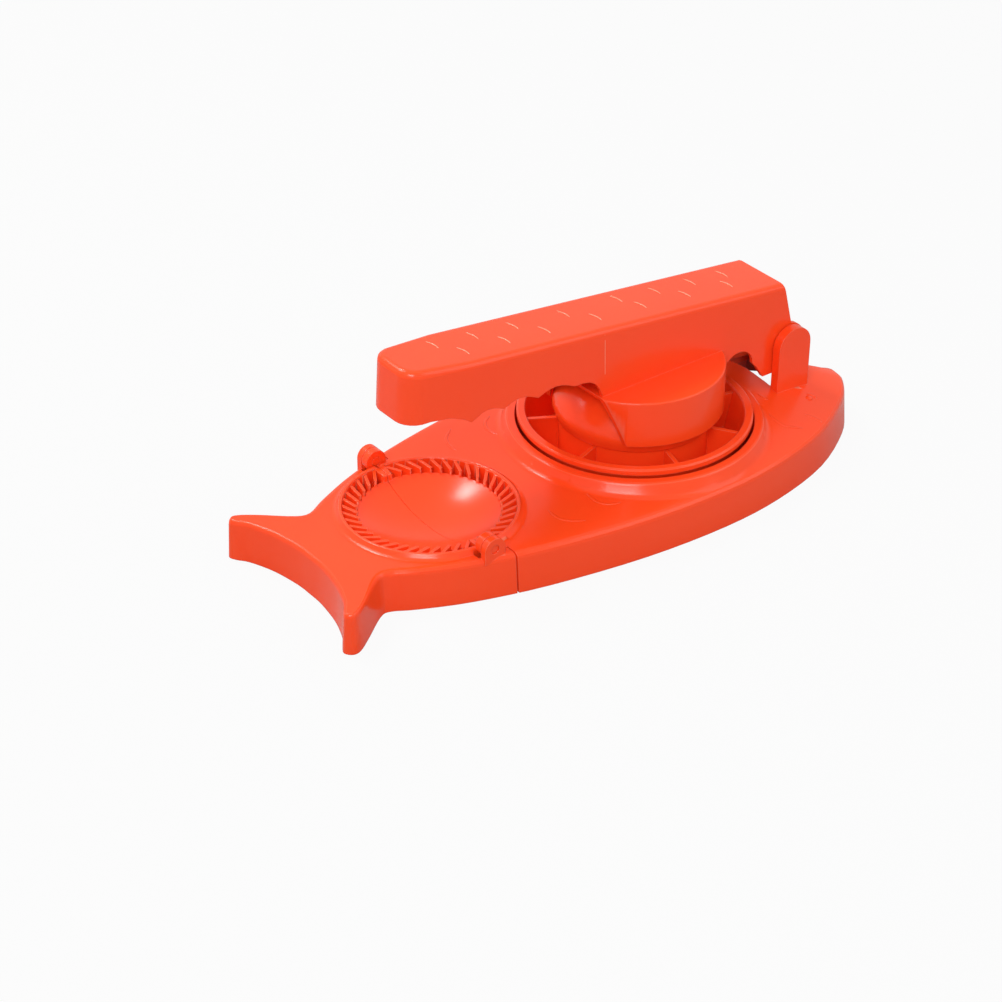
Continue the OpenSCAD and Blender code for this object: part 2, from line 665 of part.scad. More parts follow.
body_shell();
tail_shell();
fold_pin_near();
fold_pin_far();
lever_handle();
lever_pin();
press_plate();
press_dome();
swivel_pin();
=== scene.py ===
# %% [markdown]
# An empanada press shaped like a fish: a hollow moulded base, a lever with a press plate over a
# round well, and a tail that folds over on two pins to close a crimping mould. The CAD model
# already holds the true sizes and the joints. This script dresses it: it rounds the edges,
# adds the raised scales and lines of the moulding, gives each part its finish, and lights it.

# %% Load the frame
from math import cos, radians, sin

import bmesh
import bpy
from mathutils import Matrix, Vector
from mathutils.bvhtree import BVHTree


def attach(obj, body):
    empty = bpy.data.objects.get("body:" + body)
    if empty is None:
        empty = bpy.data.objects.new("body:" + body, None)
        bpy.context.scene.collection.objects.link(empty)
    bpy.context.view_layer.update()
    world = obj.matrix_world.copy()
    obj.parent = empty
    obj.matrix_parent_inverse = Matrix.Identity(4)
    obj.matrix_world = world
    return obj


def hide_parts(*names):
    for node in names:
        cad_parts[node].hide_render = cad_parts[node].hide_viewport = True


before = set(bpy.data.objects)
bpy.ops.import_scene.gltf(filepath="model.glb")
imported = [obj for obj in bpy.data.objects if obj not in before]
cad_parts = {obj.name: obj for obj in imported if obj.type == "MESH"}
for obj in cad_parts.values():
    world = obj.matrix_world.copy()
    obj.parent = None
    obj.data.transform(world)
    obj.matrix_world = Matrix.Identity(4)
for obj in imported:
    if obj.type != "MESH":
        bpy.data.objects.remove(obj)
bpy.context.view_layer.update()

# %% Units and helpers for lengths
MM = 0.001


def mm(*numbers):
    """A vector from lengths in millimetres."""
    return Vector(numbers) * MM


print("one unit here is", MM, "m")

# %% [markdown]
# Materials are node graphs. Writing each Math node by hand hides the idea behind the wiring, so
# a small class wraps a socket: adding or multiplying two wrapped sockets adds the Math node.
# The other way would be long lists of nodes and links, which are hard to read and to change.
# A Mix node keeps sockets for every kind of data, so its colour ones are named by their places.

# %% A socket that can be used in sums
MIX_FIRST = 6
MIX_SECOND = 7
MIX_COLOUR = 2


class Value:
    """One output socket of a material, usable in Python expressions."""

    def __init__(self, tree, socket):
        self.tree = tree
        self.socket = socket

    def math(self, operation, other=None, swap=False):
        node = self.tree.nodes.new("ShaderNodeMath")
        node.operation = operation
        sides = [self, other]
        if swap:
            sides.reverse()
        for place, side in enumerate(sides):
            if isinstance(side, Value):
                self.tree.links.new(side.socket, node.inputs[place])
            elif side is not None:
                node.inputs[place].default_value = side
        return Value(self.tree, node.outputs[0])

    def __add__(self, other):
        return self.math("ADD", other)

    def __radd__(self, other):
        return self.math("ADD", other, swap=True)

    def __sub__(self, other):
        return self.math("SUBTRACT", other)

    def __rsub__(self, other):
        return self.math("SUBTRACT", other, swap=True)

    def __mul__(self, other):
        return self.math("MULTIPLY", other)

    def __rmul__(self, other):
        return self.math("MULTIPLY", other, swap=True)


class Finish:
    """A material with its tree; part() adds any node that sums can't make."""

    def __init__(self, name, base, roughness=0.3):
        self.material = bpy.data.materials.new(name)
        self.material.use_nodes = True
        self.tree = self.material.node_tree
        self.shader = self.tree.nodes["Principled BSDF"]
        self.shader.inputs["Base Color"].default_value = (*base, 1)
        self.shader.inputs["Roughness"].default_value = roughness

    def part(self, kind, settings=None, inputs=None, output=0):
        """One node: its settings first, then the values or links of its sockets."""
        node = self.tree.nodes.new(kind)
        for key, value in (settings or {}).items():
            setattr(node, key, value)
        for key, value in (inputs or {}).items():
            if isinstance(value, Value):
                self.tree.links.new(value.socket, node.inputs[key])
            else:
                node.inputs[key].default_value = value
        return Value(self.tree, node.outputs[output])

    def place(self):
        """Object coordinates, in metres, the same as the row frame."""
        return self.part("ShaderNodeTexCoord", output="Object")

    def noise(self, scale, detail=2.0, stretch=(1, 1, 1)):
        """Noise whose pattern is about 1 / scale metres wide; stretch pulls it out along an axis."""
        where = self.part("ShaderNodeMapping", inputs={"Vector": self.place(), "Scale": stretch})
        return self.part("ShaderNodeTexNoise", inputs={"Vector": where, "Scale": scale, "Detail": detail})

    def blend_of(self, first, second, share):
        """A colour between two, by a share from 0 to 1; the first may be a wrapped socket."""
        if not isinstance(first, Value):
            first = (*first, 1)
        inputs = {0: share, MIX_FIRST: first, MIX_SECOND: (*second, 1)}
        return self.part("ShaderNodeMix", {"data_type": "RGBA"}, inputs, output=MIX_COLOUR)

    def drive(self, name, value):
        """Leads a wrapped socket to an input of the shader."""
        self.tree.links.new(value.socket, self.shader.inputs[name])


print("socket sums ready")

# %% [markdown]
# The whole press is one glossy orange-red moulded plastic. A flat colour would look like paint,
# so some things vary: the colour drifts warmer and cooler over some centimetres as the pigment
# does in a mould, the gloss has faint clouds, and a fine bump breaks the highlights. The Bevel
# node turns the normal near sharp edges, which gives them the soft glint of a moulding. Outer
# edges also get a paler colour, a painted highlight that stands in for the light they catch. Where
# the bevelled normal and the true one part, there is an edge, so their dot product finds it, and
# ambient occlusion takes the inner corners out again. A little light also seeps under the surface.

# %% The moulded plastic
EDGE_ROUND = 0.45 * MM
EDGE_GLINT_SHARE = 0.6
EDGE_GAIN = 9
EDGE_IGNORED = 0.25
CORNER_REACH = 1.5 * MM
OPEN_SHARE = 0.6
OPEN_GAIN = 4
DRIFT_SCALE = 22
DRIFT_SHARE = 0.7
CLOUD_SCALE = 60
CLOUD_SHARE = 0.08
SMOOTHEST = 0.17
RIPPLE_SCALE = 90
GRAIN_SCALE = 900
GRAIN_SHARE = 0.12
BUMP_STRENGTH = 0.5
BUMP_DEPTH = 0.02 * MM
MIRROR_LEVEL = 0.36
SEEP_SHARE = 0.08
SEEP_RADIUS = (4 * MM, 0.8 * MM, 0.4 * MM)


def edge_glint_mask(finish, rounded):
    """Where the painted highlight goes: 1 on outer edges, 0 on flats and in inner corners."""
    true_normal = finish.part("ShaderNodeNewGeometry", output="True Normal")
    sides = {0: rounded, 1: true_normal}
    same_way = finish.part("ShaderNodeVectorMath", {"operation": "DOT_PRODUCT"}, sides, output=1)
    turned = ((1 - same_way) * EDGE_GAIN - EDGE_IGNORED).math("MAXIMUM", 0.0).math("MINIMUM", 1.0)
    open_sky = finish.part("ShaderNodeAmbientOcclusion", {"samples": 4}, {"Distance": CORNER_REACH}, output=1)
    return turned * ((open_sky - OPEN_SHARE) * OPEN_GAIN).math("MAXIMUM", 0.0).math("MINIMUM", 1.0)


def moulded_plastic(name, colour, warm, painted_glint=None):
    """The plastic; with a glint colour, its edges are rounded and get that colour as a painted highlight."""
    finish = Finish(name, colour)
    tint = finish.blend_of(colour, warm, finish.noise(DRIFT_SCALE, 2.0) * DRIFT_SHARE)
    if painted_glint:
        rounded = finish.part("ShaderNodeBevel", {"samples": 4}, {"Radius": EDGE_ROUND})
        # Painted highlight: outer edges blend over to a paler orange.
        tint = finish.blend_of(tint, painted_glint, edge_glint_mask(finish, rounded) * EDGE_GLINT_SHARE)
    else:
        rounded = finish.part("ShaderNodeNewGeometry", output="Normal")
    finish.drive("Base Color", tint)
    clouds = finish.noise(CLOUD_SCALE, 3.0)
    finish.drive("Roughness", clouds * CLOUD_SHARE + SMOOTHEST)
    ripple = finish.noise(RIPPLE_SCALE, 1.0) + finish.noise(GRAIN_SCALE, 2.0) * GRAIN_SHARE
    bump = {"Strength": BUMP_STRENGTH, "Distance": BUMP_DEPTH, "Height": ripple, "Normal": rounded}
    finish.drive("Normal", finish.part("ShaderNodeBump", inputs=bump))
    finish.shader.inputs["Specular IOR Level"].default_value = MIRROR_LEVEL
    finish.shader.inputs["Subsurface Weight"].default_value = SEEP_SHARE
    finish.shader.inputs["Subsurface Radius"].default_value = SEEP_RADIUS
    finish.shader.inputs["Subsurface Scale"].default_value = 1.0
    return finish.material


ORANGE = (0.96, 0.060, 0.010)
WARM_ORANGE = (0.96, 0.076, 0.012)
# Paler oranges for painted highlights, on outer edges and on the thin raised lines.
PAINTED_GLINT_ORANGE = (0.98, 0.24, 0.14)
PAINTED_GLINT_WARM_ORANGE = (0.98, 0.30, 0.18)
orange_plastic = moulded_plastic("orange_plastic", ORANGE, WARM_ORANGE, PAINTED_GLINT_ORANGE)
bowl_plastic = moulded_plastic("bowl_plastic", ORANGE, WARM_ORANGE)
# The thin raised lines are paler all over: a painted highlight for the light their crests catch.
painted_glint_ridge_plastic = moulded_plastic("painted_glint_ridge_plastic", PAINTED_GLINT_ORANGE, PAINTED_GLINT_WARM_ORANGE)
print("finishes:", orange_plastic.name, bowl_plastic.name, painted_glint_ridge_plastic.name)

# %% [markdown]
# Two plain steel pins carry the lever and the press. Turned steel shows fine rings round its
# axis, so the bump's noise is squeezed along the pin.

# %% The steel of the pins
STEEL_GREY = (0.62, 0.62, 0.64)
RING_SCALE = 400
ALONG_PIN = (0.2, 4, 0.2)
RING_SHARE = 0.2
RING_DEPTH = 0.01 * MM


def pin_steel():
    """Bright turned steel with faint rings."""
    finish = Finish("pin_steel", STEEL_GREY)
    finish.shader.inputs["Metallic"].default_value = 1.0
    rings = finish.noise(RING_SCALE, 2.0, stretch=ALONG_PIN)
    finish.drive("Roughness", rings * RING_SHARE + 0.2)
    bump = {"Strength": 0.2, "Distance": RING_DEPTH, "Height": rings}
    finish.drive("Normal", finish.part("ShaderNodeBump", inputs=bump))
    return finish.material


steel = pin_steel()
print("finish:", steel.name)

# %% [markdown]
# A CAD mesh is loose triangles. Each shown part is a copy whose doubles are merged and whose
# flat areas are one face again, with smooth shading up to a chosen angle. The copy then stands
# for the node, rides on its body and takes the finish. Remodelling by hand could drift from the
# true sizes, so the copy is the safer way to a clean surface.

# %% Dress one CAD node
SMOOTH_UP_TO = radians(32)
SMOOTH_DETAIL = radians(60)
FLAT_UP_TO = radians(0.15)
SAME_PLACE = 0.002 * MM
EVEN_WEIGHT = 50


def piece_from(name, shape, body, finish):
    """A new object from a bmesh, riding on a body."""
    mesh = bpy.data.meshes.new(name)
    shape.to_mesh(mesh)
    shape.free()
    piece = bpy.data.objects.new(name, mesh)
    bpy.context.scene.collection.objects.link(piece)
    mesh.materials.append(finish)
    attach(piece, body)
    return piece


def merged(node):
    """A bmesh copy of a CAD node with its doubles merged and its flats joined."""
    shape = bmesh.new()
    shape.from_mesh(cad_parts[node].data)
    bmesh.ops.remove_doubles(shape, verts=shape.verts, dist=SAME_PLACE)
    bmesh.ops.dissolve_limit(
        shape,
        angle_limit=FLAT_UP_TO,
        use_dissolve_boundaries=False,
        verts=shape.verts,
        edges=shape.edges,
        delimit=set(),
    )
    return shape


def smooth(piece, angle=SMOOTH_UP_TO):
    """Smooth shading up to an angle, with the large faces setting the normals beside them."""
    for face in piece.data.polygons:
        face.use_smooth = True
    piece.data.set_sharp_from_angle(angle=angle)
    weighted = piece.modifiers.new("weighted normals", "WEIGHTED_NORMAL")
    weighted.keep_sharp = True
    weighted.weight = EVEN_WEIGHT


def dress(node, body, finish, shape=None):
    """The shown copy of a node; shape is its merged copy where that was reshaped first."""
    if shape is None:
        shape = merged(node)
    piece = piece_from("shown_" + node, shape, body, finish)
    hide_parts(node)
    smooth(piece)
    print(node, "->", len(piece.data.polygons), "faces")
    return piece


# %% [markdown]
# The base is the body of the fish: one hollow shell with the crowned back, the well with its
# collar, half of the mould, the ears of the lever and the knuckles of the fold. The photograph
# shows a narrower gap round the plate than the solids leave, so the collar's inner edge moves in.
# The two short pins of the fold stand in its knuckles.

# %% The base
WELL = mm(37.8, 0, 0)
COLLAR_TOP_Z = 24.8 * MM
COLLAR_EDGE_R = 52.8 * MM
COLLAR_DRAWN_IN = 0.4 * MM
ON_LEVEL = 0.02 * MM
ON_RING = 0.1 * MM


def away_from_well(spot):
    """The level way from the middle of the well to a place."""
    return Vector((spot.x - WELL.x, spot.y, 0))


def base_shape():
    """The base, with the inner edge of the collar drawn closer to the plate."""
    shape = merged("body_shell")
    for vert in shape.verts:
        out = away_from_well(vert.co)
        on_top = abs(vert.co.z - COLLAR_TOP_Z) < ON_LEVEL
        if on_top and abs(out.length - COLLAR_EDGE_R) < ON_RING:
            vert.co -= out.normalized() * COLLAR_DRAWN_IN
    return shape


base = dress("body_shell", "base", orange_plastic, base_shape())
dress("fold_pin_near", "base", orange_plastic)
dress("fold_pin_far", "base", orange_plastic)

# %% [markdown]
# The tail is a hollow shell of its own, with the other half of the mould. It is dressed apart from
# the base because it folds over: a single mesh across the fold line would tear in the poses.

# %% The tail
tail = dress("tail_shell", "tail", orange_plastic)

# %% [markdown]
# The two halves of the bowl meet in a fine seam. Rounded edges with their paler painted highlight
# would make it look wide, so the faces of the bowl take the same plastic without them. The cut also
# leaves thin slivers beside the seam, which would shade in waves, so these faces get the normals of
# the ball that the bowl is a part of. Large flat faces that a smoothed neighbour would shade take
# their own normal, and the other corners keep the normals that the modifier worked out.

# %% The bowl's own faces
MOULD = mm(-72.6, 0, 0)
BOWL_R = 30.4 * MM
BOWL_EDGE_Z = 16.9 * MM
BOWL_FLOOR_Z = 7.6 * MM
BALL_CENTRE = mm(-72.6, 0, 71.5)
LARGE_FACE = 6 * MM * MM
SMOOTHED_TOO_FAR = radians(7)


def plain_bowl(piece):
    """Plain finish and the ball's normals on the bowl, and settled normals on large faces."""
    piece.data.materials.append(bowl_plastic)
    found = 0
    for face in piece.data.polygons:
        spot = face.center
        reach = (Vector((spot.x, spot.y, 0)) - MOULD).length
        if reach < BOWL_R and BOWL_FLOOR_Z < spot.z < BOWL_EDGE_Z and face.normal.z > 0.5:
            face.material_index = 1
            found += 1
    shaded = piece.evaluated_get(bpy.context.evaluated_depsgraph_get()).data
    normals = [corner.vector.copy() for corner in shaded.corner_normals]
    for face in piece.data.polygons:
        if face.material_index == 1:
            for corner in face.loop_indices:
                spot = piece.data.vertices[piece.data.loops[corner].vertex_index].co
                normals[corner] = (BALL_CENTRE - spot).normalized()
        elif face.area > LARGE_FACE:
            for corner in face.loop_indices:
                if normals[corner].angle(face.normal, 0) > SMOOTHED_TOO_FAR:
                    normals[corner] = face.normal.copy()
    piece.modifiers.clear()
    piece.data.normals_split_custom_set(normals)
    return found


print("faces of the bowl:", plain_bowl(base), "and", plain_bowl(tail))

# %% [markdown]
# The lever is a channel open below, with a half cup over the dome and scallops for the fingers. A
# plain steel rod joins it to the ears of the base. The solids have these forms already.

# %% The lever and its pin
lever = dress("lever_handle", "lever", orange_plastic)
dress("lever_pin", "lever", steel)

# %% [markdown]
# The press is a round plate with a lip, a dome over its hub and a short steel pin inside. The
# solid's lip is thin, to leave room to swing. Its underside is drawn down and the wall below it
# out, which closes most of the dark gap under the lip, as on the real press.

# %% The press: plate, dome and swivel pin
UNDER_LIP_Z = 26.4 * MM
LIP_EDGE_Z = 27.0 * MM
LIP_EDGE_R = 51.5 * MM
WALL_FROM_R = 49.0 * MM
WALL_TO_R = 50.0 * MM
WALL_DRAWN_OUT = 1.7 * MM
LIP_DRAWN_DOWN = 1.2 * MM


def plate_shape():
    """The plate, with the underside of its lip drawn down and its wall out."""
    shape = merged("press_plate")
    for vert in shape.verts:
        out = away_from_well(vert.co)
        under_lip = abs(vert.co.z - UNDER_LIP_Z) < ON_LEVEL and out.length > WALL_FROM_R
        lip_edge = abs(vert.co.z - LIP_EDGE_Z) < ON_LEVEL and out.length > LIP_EDGE_R
        if under_lip and out.length < WALL_TO_R:
            vert.co += out.normalized() * WALL_DRAWN_OUT
        if under_lip or lip_edge:
            vert.co.z -= LIP_DRAWN_DOWN
    return shape


dress("press_plate", "press", orange_plastic, plate_shape())
dress("press_dome", "press", orange_plastic)
dress("swivel_pin", "press", steel)

# %% [markdown]
# Thin raised lines stand on the lever and on the body, like the scales of a fish. On the real
# press they are cut into the mould. Each one is a small round section carried along a path and
# drawn thin at its ends, and it is laid on the surface by looking down on it, so it follows the
# crown. A bump in the material would vanish from the side, so they are real shapes.

# %% Raised scales
ABOVE_ALL = 300 * MM
LINE_STEPS = 10
LINE_SIDES = 10
LINE_FADE = 0.35
LINE_END_SHARE = 0.12
LINE_SWELL = 0.7


def looking_down_on(piece):
    """A tree of the piece's surface, to find the height at a place."""
    shape = bmesh.new()
    shape.from_mesh(piece.data)
    tree = BVHTree.FromBMesh(shape)
    shape.free()
    return tree


def height_at(tree, x, y):
    """The height of the surface at a place, or None beside the piece."""
    hit = tree.ray_cast(Vector((x, y, ABOVE_ALL)), Vector((0, 0, -1)))[0]
    return None if hit is None else hit.z


def between(points, t):
    """A point on a smooth path through three or more given points, t from 0 to 1."""
    spans = len(points) - 1
    k = min(int(t * spans), spans - 1)
    u = t * spans - k
    a = points[max(k - 1, 0)]
    b = points[k]
    c = points[k + 1]
    d = points[min(k + 2, spans)]
    square = (2 * a - 5 * b + 4 * c - d) * u * u
    cube = (3 * b - a - 3 * c + d) * u ** 3
    return 0.5 * (2 * b + (c - a) * u + square + cube)


def raised_line(shape, tree, points, width, height):
    """Carries a round section along a path on the surface, thin at both ends."""
    places = [Vector((x * MM, y * MM)) for x, y in points]
    path = [between(places, k / LINE_STEPS) for k in range(LINE_STEPS + 1)]
    ring = None
    for k, spot in enumerate(path):
        way = (path[min(k + 1, LINE_STEPS)] - path[max(k - 1, 0)]).normalized()
        side = Vector((-way.y, way.x))
        t = k / LINE_STEPS
        swell = min(1.0, min(t, 1 - t) / LINE_FADE)
        swell = LINE_END_SHARE + (1 - LINE_END_SHARE) * (swell * (2 - swell)) ** LINE_SWELL
        z = height_at(tree, spot.x, spot.y)
        if z is None:
            continue
        made = bmesh.ops.create_circle(shape, segments=LINE_SIDES, radius=1.0, cap_ends=ring is None)
        for vert in made["verts"]:
            out = vert.co.x * width / 2 * swell
            up = vert.co.y * height * swell
            vert.co = Vector((spot.x + side.x * out, spot.y + side.y * out, z + up))
        edges = list({e for v in made["verts"] for e in v.link_edges})
        if ring is not None:
            bmesh.ops.bridge_loops(shape, edges=ring + edges)
        ring = edges
    if ring is not None:
        bmesh.ops.contextual_create(shape, geom=ring)


def raised_lines(name, body, tree, lines, width, height, finish=orange_plastic):
    """All the lines of one kind, as one piece."""
    shape = bmesh.new()
    for points in lines:
        raised_line(shape, tree, points, width, height)
    bmesh.ops.recalc_face_normals(shape, faces=shape.faces)
    piece = piece_from(name, shape, body, finish)
    smooth(piece, SMOOTH_DETAIL)
    print(name, len(lines), "lines")


lever_top = looking_down_on(lever)
FAR_ROW = [
    (-66.6, 5.5), (-46.9, 4.9), (-26.2, 5.1), (0.4, 4.7),
    (30.4, 6.3), (50.7, 5.3), (70.9, 5.6), (89.6, 5.8),
]
NEAR_ROW = [
    (-58.6, -4.7), (-37.3, -4.0), (-16.5, -4.0), (10.8, -3.7),
    (36, -3.0), (60.7, -3.0), (84.5, -3.3),
]


SCALE_W = 0.6 * MM
SCALE_H = 0.25 * MM
SCALE_HALF = 3.7
SCALE_LEAN = 0.6
SCALE_BOW = 0.7


def crescent(x, y):
    """Three points of a short line across the lever, bowed towards the head."""
    ends = [(x - SCALE_LEAN, y + SCALE_HALF), (x + SCALE_LEAN, y - SCALE_HALF)]
    return [ends[0], (x + SCALE_BOW, y), ends[1]]


scales = [crescent(x, y) for x, y in FAR_ROW + NEAR_ROW]
# The scales take the paler colour, a painted highlight on their crests.
raised_lines("lever_scales", "lever", lever_top, scales, SCALE_W, SCALE_H, painted_glint_ridge_plastic)

# %% [markdown]
# The mould that the lever came from opened in two halves at the cup, and left a fine upright seam
# line on each wall. It is laid on the wall by looking at it from the side, at a few heights.

# %% The seam lines of the lever
SEAM_X = 6.5
SEAM_FROM = 63.5
SEAM_TO = 82.0
SEAM_W = 0.3
SEAM_OUT = 0.05
SEAM_SPANS = 6
SEAM_SIDES = 8
BESIDE_LEVER = 80


def seam_lines():
    """A thin upright bar on each wall of the lever."""
    shape = bmesh.new()
    for side in (-1, 1):
        ring = None
        for k in range(SEAM_SPANS + 1):
            z = SEAM_FROM + (SEAM_TO - SEAM_FROM) * k / SEAM_SPANS
            hit = lever_top.ray_cast(mm(SEAM_X, side * BESIDE_LEVER, z), Vector((0, -side, 0)))[0]
            circle = bmesh.ops.create_circle(shape, segments=SEAM_SIDES, radius=1.0, cap_ends=ring is None)
            made = circle["verts"]
            for vert in made:
                x = SEAM_X * MM + vert.co.x * SEAM_W / 2 * MM
                vert.co = Vector((x, hit.y + vert.co.y * SEAM_OUT * MM, z * MM))
            edges = list({e for v in made for e in v.link_edges})
            if ring is not None:
                bmesh.ops.bridge_loops(shape, edges=ring + edges)
            ring = edges
        bmesh.ops.contextual_create(shape, geom=ring)
    bmesh.ops.recalc_face_normals(shape, faces=shape.faces)
    # The seam lines take the paler colour, a painted highlight along them.
    piece = piece_from("lever_seams", shape, "lever", painted_glint_ridge_plastic)
    smooth(piece, SMOOTH_DETAIL)
    return piece


lever_seams = seam_lines()
print("seam lines:", len(lever_seams.data.polygons), "faces")

# %% [markdown]
# The body has two soft scale lines on each flank beside the well, a few lines for the gill and the
# cheek on each side of the head, and a brow over each eye. The far side mirrors the near one where
# the lever hides it. They are laid on the deck like the scales of the lever.

# %% Raised lines of the body
deck = looking_down_on(base)
FLANK_LINES = [
    [(-27.7, 46.0), (-34.1, 40.9), (-36.5, 34.9), (-36.6, 29.9)],
    [(-8.0, 44.1), (-13.1, 40.7), (-15.8, 35.0), (-14.8, 28.6)],
    [(-13.6, -30.4), (-14.0, -38.5), (-11.0, -43.0), (-6.1, -44.9)],
    [(-34.1, -31.0), (-34.3, -38.1), (-31.4, -42.7), (-26.3, -46.4)],
]
HEAD_LINES = [
    [(103.1, -38.8), (106.0, -43.2), (106.6, -46.4)],
    [(88.3, -31.7), (87.8, -36.2), (89.1, -41.3), (92.9, -44.4), (95.5, -46.1)],
    [(94.0, -17.9), (94.3, -20.9), (94.9, -23.5)],
    [(103.1, 38.8), (106.0, 43.2), (106.6, 46.4)],
    [(88.3, 31.7), (87.8, 36.2), (89.1, 41.3), (92.9, 44.4), (95.5, 46.1)],
    [(94.0, 17.9), (94.3, 20.9), (94.9, 23.5)],
]
EYE_LINES = [
    [(114.2, -27.6), (116.0, -28.6), (116.9, -30.4), (116.3, -32.2)],
    [(114.2, 27.6), (116.0, 28.6), (116.9, 30.4), (116.3, 32.2)],
]
BODY_LINE_W = 1.5 * MM
BODY_LINE_H = 0.3 * MM
EYE_LINE_W = 1.2 * MM
EYE_LINE_H = 0.4 * MM
raised_lines("body_lines", "base", deck, FLANK_LINES + HEAD_LINES, BODY_LINE_W, BODY_LINE_H)
raised_lines("eye_lines", "base", deck, EYE_LINES, EYE_LINE_W, EYE_LINE_H)

# %% [markdown]
# Each eye is a low dot, a flattened ball that is half sunk in the deck. A spun dome would look
# the same, and the ball needs no open edge to be closed.

# %% The eyes
EYES = [(113.4, -30.2), (113.4, 30.2)]
EYE_R = 1.7
EYE_H = 0.7


def eyes():
    """A low round dot on each side of the head."""
    shape = bmesh.new()
    for x, y in EYES:
        made = bmesh.ops.create_uvsphere(shape, u_segments=24, v_segments=12, radius=1.0)["verts"]
        z = height_at(deck, x * MM, y * MM)
        bmesh.ops.scale(shape, verts=made, vec=mm(EYE_R, EYE_R, EYE_H))
        bmesh.ops.translate(shape, verts=made, vec=(x * MM, y * MM, z))
    piece = piece_from("eyes", shape, "base", orange_plastic)
    smooth(piece, SMOOTH_DETAIL)
    print("eyes:", len(piece.data.polygons), "faces")


eyes()

# %% [markdown]
# The collar of the well doesn't meet the deck in a corner: it runs out into it in a soft hollow.
# The deck is crowned, so one spun section can't follow it. Each ring of points is laid down on its
# own instead, on a curve from the collar's slope over the corner to the deck, whose height is found
# by looking down on it. Towards the head the deck is as high as the collar and the hollow ends.
# The lip of the mould gets the same hollow, in two arcs that stop short of the hinges.

# %% The feet of the collar and of the mould's lip
FOOT_STEPS = 6
HOLLOW_FROM = 0.2
HOLLOW_FADE = 0.8
UP_THE_SLOPE = 0.27
OUT_ON_DECK = 0.45
FOOT_PROUD = 0.04
FOOT_SUNK = 0.3


def arc_between(start, middle, end, t):
    """A point of a curve that leaves start and reaches end on the lines through middle."""
    return start * (1 - t) ** 2 + middle * 2 * t * (1 - t) + end * t * t


def foot(name, body, tree, centre, slope, reach, turns, parts):
    """Strips of faces from a round slope out to the deck; slope is its top and its foot."""
    (top_r, top_z), (foot_r, foot_z) = slope
    lean = (top_z - foot_z) / (foot_r - top_r)
    first, last = turns
    shape = bmesh.new()
    before = None
    for k in range(parts + 1):
        turn = radians(first + (last - first) * k / parts)
        way = mm(cos(turn), sin(turn), 0)
        far_out = centre + way * (top_r + reach)
        ground = height_at(tree, far_out.x, far_out.y) / MM
        share = max(0.0, min(1.0, (top_z - HOLLOW_FROM - ground) / HOLLOW_FADE))
        corner = top_r + (top_z - ground) / lean
        start = corner - reach * UP_THE_SLOPE * share
        end = corner + reach * OUT_ON_DECK * share
        start_z = top_z - (start - top_r) * lean
        landing = centre + way * end
        end_z = height_at(tree, landing.x, landing.y) / MM
        lift = FOOT_PROUD if share > 0 else -FOOT_SUNK
        row = []
        for step in range(FOOT_STEPS + 1):
            t = step / FOOT_STEPS
            spot = centre + way * arc_between(start, corner, end, t)
            spot.z = (arc_between(start_z, ground, end_z, t) + lift) * MM
            row.append(shape.verts.new(spot))
        edges = [shape.edges.new(pair) for pair in zip(row, row[1:])]
        if before is not None:
            bmesh.ops.bridge_loops(shape, edges=before + edges)
        before = edges
    bmesh.ops.remove_doubles(shape, verts=shape.verts, dist=SAME_PLACE)
    bmesh.ops.recalc_face_normals(shape, faces=shape.faces)
    if sum(face.normal.z for face in shape.faces) < 0:
        bmesh.ops.reverse_faces(shape, faces=shape.faces)
    piece = piece_from(name, shape, body, orange_plastic)
    smooth(piece, SMOOTH_DETAIL)
    print(name, len(piece.data.polygons), "faces")


COLLAR_SLOPE = ((56.6, 23.6), (59.8, 18.6))
LIP_SLOPE = ((38.3, 20.5), (39.4, 18.6))
tail_deck = looking_down_on(tail)
COLLAR_REACH = 4.4
LIP_REACH = 3.6
foot("collar_foot", "base", deck, WELL, COLLAR_SLOPE, COLLAR_REACH, (0, 360), 144)
foot("lip_foot_head", "base", deck, MOULD, LIP_SLOPE, LIP_REACH, (-72, 72), 60)
foot("lip_foot_tail", "tail", tail_deck, MOULD, LIP_SLOPE, LIP_REACH, (108, 252), 60)

# %% [markdown]
# A small table-top studio: a pale floor that goes on beyond the picture, a pale sky, and four
# soft lamps. The floor and sky glow white where the camera sees them and only faintly where a
# glossy reflection does, so the lamps can stay at a level at which the plastic keeps its own
# colour. A small part of the floor's look stays lamplit, which keeps the shadow of the press.

# %% Floor and sky
LAMPLIT = 0.06
SEEN_IN_GLOSS = 0.15
FLOOR_HALF = 6.0
FLOOR_DROP = 0.2 * MM
PAPER_GREY = (0.35, 0.35, 0.35)
SKY_LEVEL = 0.6


def white_for_the_camera(tree, lit, glow_kind, share=1.0):
    """Mixes plain white in for rays from the camera, from gloss and through clear parts."""
    path = tree.nodes.new("ShaderNodeLightPath")
    glow = tree.nodes.new(glow_kind)
    glow.inputs["Strength"].default_value = 1.0
    glow.inputs["Color"].default_value = (1, 1, 1, 1)
    mix = tree.nodes.new("ShaderNodeMixShader")
    glossy = Value(tree, path.outputs["Is Glossy Ray"]) * SEEN_IN_GLOSS
    seen = Value(tree, path.outputs["Is Camera Ray"]).math("MAXIMUM", glossy)
    seen = seen.math("MAXIMUM", Value(tree, path.outputs["Is Transmission Ray"])) * share
    tree.links.new(seen.socket, mix.inputs["Fac"])
    tree.links.new(lit, mix.inputs[1])
    tree.links.new(glow.outputs[0], mix.inputs[2])
    return mix.outputs[0]


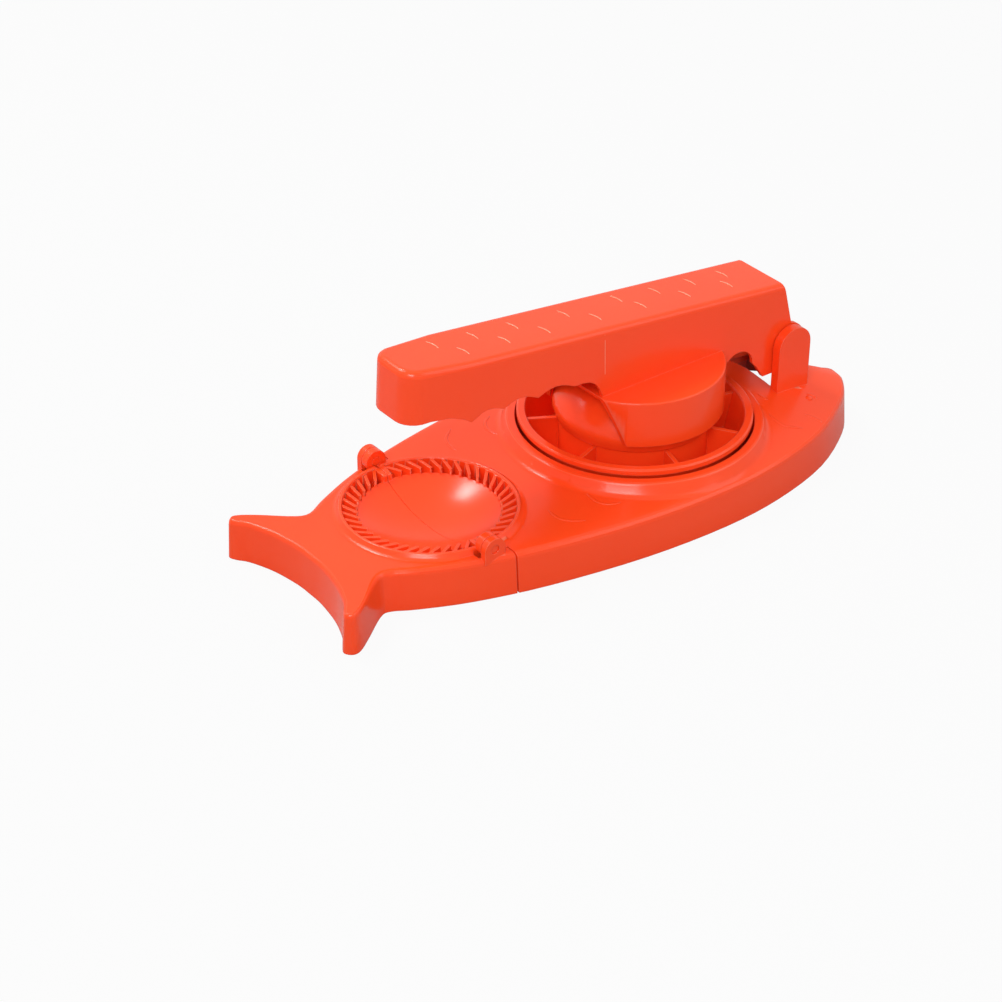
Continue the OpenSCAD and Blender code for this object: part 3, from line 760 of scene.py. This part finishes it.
floor_shape = bmesh.new()
bmesh.ops.create_grid(floor_shape, x_segments=1, y_segments=1, size=FLOOR_HALF)
bmesh.ops.translate(floor_shape, verts=floor_shape.verts, vec=(0, 0, -FLOOR_DROP))
floor_mesh = bpy.data.meshes.new("floor")
floor_shape.to_mesh(floor_mesh)
floor_shape.free()
floor = bpy.data.objects.new("floor", floor_mesh)
bpy.context.scene.collection.objects.link(floor)

paper = Finish("pale_paper", PAPER_GREY, 0.9)
paper_out = paper.tree.nodes["Material Output"]
whitened = white_for_the_camera(paper.tree, paper.shader.outputs[0], "ShaderNodeEmission", 1 - LAMPLIT)
paper.tree.links.new(whitened, paper_out.inputs["Surface"])
floor_mesh.materials.append(paper.material)

world = bpy.data.worlds.new("studio")
world.use_nodes = True
bpy.context.scene.world = world
sky = world.node_tree.nodes["Background"]
sky.inputs["Color"].default_value = (1, 1, 1, 1)
sky.inputs["Strength"].default_value = SKY_LEVEL
world_out = world.node_tree.nodes["World Output"]
whitened = white_for_the_camera(world.node_tree, sky.outputs[0], "ShaderNodeBackground")
world.node_tree.links.new(whitened, world_out.inputs["Surface"])
print("stage set")

# %% [markdown]
# Four area lamps stand where the photograph's highlights ask for them. The back lamp is small and
# makes the bright spot in the bowl, and the front one lights the near edges. The large ones at the
# camera's side and above give the walls and the decks their brightness.

# %% Lamps
def soft_lamp(name, spot, aim, size, watts):
    """A rectangular lamp at a spot, turned to its aim; lengths in metres."""
    data = bpy.data.lights.new(name, "AREA")
    data.shape = "RECTANGLE"
    data.size = size[0]
    data.size_y = size[1]
    data.energy = watts
    lamp = bpy.data.objects.new(name, data)
    lamp.location = spot
    lamp.rotation_euler = (Vector(aim) - Vector(spot)).to_track_quat("-Z", "Y").to_euler()
    bpy.context.scene.collection.objects.link(lamp)


soft_lamp("back", (-0.135, 0.528, 0.864), (-0.046, 0.007, 0.015), (0.2, 0.16), 2.2)
soft_lamp("front", (0.52, -0.56, 0.64), (0, 0, 0.02), (0.6, 0.6), 1.5)
soft_lamp("camera_side", (-0.8, -0.75, 0.92), (0, 0, 0.03), (0.6, 0.5), 8.4)
soft_lamp("top", (-0.5, 0.6, 1.1), (-0.03, 0, 0.02), (0.7, 0.6), 6.0)
print("lamps placed")

# %% [markdown]
# The camera stands where the photograph was taken from, worked out from the length and width of
# the press and its edges. Its three axes make the rotation, with a slight roll.

# %% Camera
PICTURE_PX = 1002
FOCAL_PX = 2665.851
TURN = radians(-37.385)
RISE = radians(32.723)
ROLL = radians(0.447)
DISTANCE = 1149.931 * MM
AIM = mm(-27.692, 9.698, 0)
SENSOR_MM = 36
SEES_TO = 20

back = Vector((sin(TURN) * cos(RISE), -cos(TURN) * cos(RISE), sin(RISE)))
right = Vector((cos(TURN), sin(TURN), 0))
up = back.cross(right)
rolled_right = right * cos(ROLL) + up * sin(ROLL)
rolled_up = up * cos(ROLL) - right * sin(ROLL)
turn = Matrix((rolled_right, rolled_up, back)).transposed()
camera_data = bpy.data.cameras.new("camera")
camera_data.sensor_width = SENSOR_MM
camera_data.lens = FOCAL_PX * SENSOR_MM / PICTURE_PX
camera_data.clip_end = SEES_TO
camera = bpy.data.objects.new("camera", camera_data)
camera.matrix_world = Matrix.Translation(AIM + back * DISTANCE) @ turn.to_4x4()
bpy.context.scene.collection.objects.link(camera)
bpy.context.scene.camera = camera
bpy.context.scene.view_settings.view_transform = "Standard"
print("camera at", [round(c, 4) for c in camera.location])
